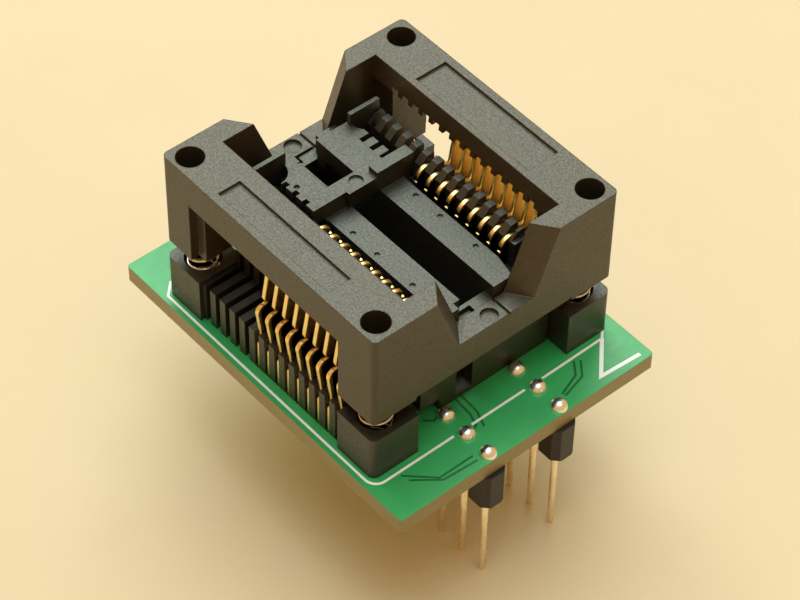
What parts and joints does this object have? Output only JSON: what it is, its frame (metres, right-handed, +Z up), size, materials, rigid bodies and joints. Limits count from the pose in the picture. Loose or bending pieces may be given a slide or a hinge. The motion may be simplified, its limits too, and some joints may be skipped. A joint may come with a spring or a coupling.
{
  "type": "zero insertion force socket",
  "caption": "Spring-loaded open-top zero insertion force test socket with gold spring contacts, on a small adapter board with two rows of header pins.",
  "frame": {"origin": "middle of the whole outline in plan, at the level of the header pin tips", "axes": "+X along the contact rows towards the end of the board with the bare header pins, +Y across the rows, +Z up out of the socket"},
  "size_m": [0.0358, 0.0272, 0.0309],
  "materials": {
    "board_mask": "green solder mask over glass fibre",
    "header_plastic": "black moulded",
    "pin_metal": "plated square wire",
    "base_plastic": "black moulded, fine sheen",
    "cover_plastic": "black moulded, fine mottled sheen",
    "stop_plastic": "black moulded",
    "contact_gold": "gold plated",
    "solder": "bright solder",
    "spring_steel": "drawn wire"
  },
  "bodies": {
    "socket_body": {"back_header_strip": "header_plastic", "base": "base_plastic", "board": "board_mask", "chip_stop": "stop_plastic", "contact_back_1": "contact_gold", "contact_back_2": "contact_gold", "contact_back_3": "contact_gold", "contact_back_4": "contact_gold", "contact_back_5": "contact_gold", "contact_back_6": "contact_gold", "contact_back_7": "contact_gold", "contact_back_8": "contact_gold", "contact_back_9": "contact_gold", "contact_front_1": "contact_gold", "contact_front_2": "contact_gold", "contact_front_3": "contact_gold", "contact_front_4": "contact_gold", "contact_front_5": "contact_gold", "contact_front_6": "contact_gold", "contact_front_7": "contact_gold", "contact_front_8": "contact_gold", "contact_front_9": "contact_gold", "contact_solder": "solder", "front_header_strip": "header_plastic", "header_pin_back_1": "pin_metal", "header_pin_back_2": "pin_metal", "header_pin_back_3": "pin_metal", "header_pin_back_4": "pin_metal", "header_pin_back_5": "pin_metal", "header_pin_back_6": "pin_metal", "header_pin_back_7": "pin_metal", "header_pin_back_8": "pin_metal", "header_pin_back_9": "pin_metal", "header_pin_front_1": "pin_metal", "header_pin_front_2": "pin_metal", "header_pin_front_3": "pin_metal", "header_pin_front_4": "pin_metal", "header_pin_front_5": "pin_metal", "header_pin_front_6": "pin_metal", "header_pin_front_7": "pin_metal", "header_pin_front_8": "pin_metal", "header_pin_front_9": "pin_metal", "header_solder": "solder", "spring_back_left": "spring_steel", "spring_back_right": "spring_steel", "spring_front_left": "spring_steel", "spring_front_right": "spring_steel"},
    "cover_body": {"cover": "cover_plastic"}
  },
  "joints": [
    {"name": "cover_press", "type": "slide", "parent": "socket_body", "child": "cover_body", "axis": [0, 0, -1], "range_m": [0, 0.0019], "stiffness_N_per_m": 3000, "springref_m": -0.0015, "deforming": ["spring_back_left", "spring_back_right", "spring_front_left", "spring_front_right", "contact_back_1", "contact_back_2", "contact_back_3", "contact_back_4", "contact_back_5", "contact_back_6", "contact_back_7", "contact_back_8", "contact_back_9", "contact_front_1", "contact_front_2", "contact_front_3", "contact_front_4", "contact_front_5", "contact_front_6", "contact_front_7", "contact_front_8", "contact_front_9"]}
  ]
}
